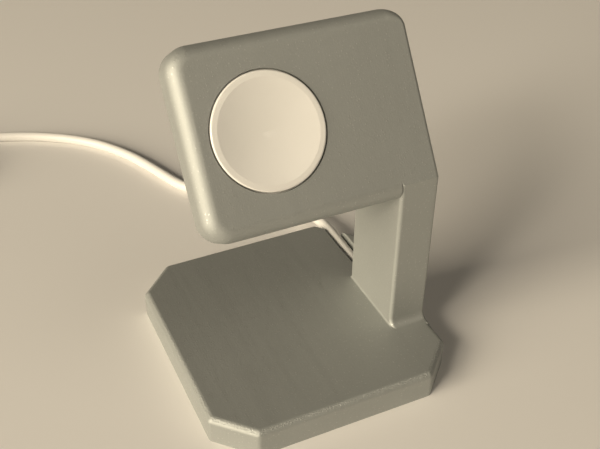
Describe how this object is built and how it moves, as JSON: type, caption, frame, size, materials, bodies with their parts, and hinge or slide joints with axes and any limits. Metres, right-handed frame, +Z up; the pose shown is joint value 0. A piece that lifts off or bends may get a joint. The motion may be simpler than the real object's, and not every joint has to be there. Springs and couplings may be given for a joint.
{
  "type": "smartwatch charging dock",
  "caption": "Smartwatch charging dock: a base plate with cut corners, a post at one side and a leaning head plate that holds a round magnetic puck with its cable.",
  "frame": {"origin": "middle of the base plate's underside", "axes": "+Z up, -Y towards the front that the head faces, +X towards the side with the post"},
  "size_m": [0.141, 0.166, 0.0783],
  "materials": {
    "print": "silk silver-grey print, fine layer lines, satin gloss",
    "puck_metal": "fine blasted, satin",
    "puck_face": "glossy white",
    "copper": "wound enamelled copper, satin",
    "ferrite": "pressed dark ferrite, matt",
    "magnet": "nickel plated",
    "steel": "plain drawn steel",
    "board": "green solder mask",
    "chip": "moulded, matt",
    "pad": "soft grey foam tape",
    "cable_white": "smooth soft white jacket, satin",
    "plug_white": "smooth white moulding, satin",
    "plug_steel": "drawn and tumbled",
    "insert": "moulded, matt",
    "gold": "gold plated"
  },
  "bodies": {
    "root": {"stand": "print", "puck_housing": "puck_metal", "charging_face": "puck_face", "charging_coil": "copper", "ferrite_shield": "ferrite", "centre_magnet": "magnet", "magnet_yoke": "steel", "adhesive_pad": "pad", "circuit_board": "board", "board_chips": "chip", "puck_strain_relief": "cable_white", "cable_in_dock": "cable_white", "cable_run": "cable_white", "cable_coil": "cable_white", "cable_tail": "cable_white", "plug_strain_relief": "plug_white", "plug_grip": "plug_white", "plug_shell": "plug_steel", "plug_insert": "insert", "plug_contacts": "gold"}
  },
  "joints": []
}
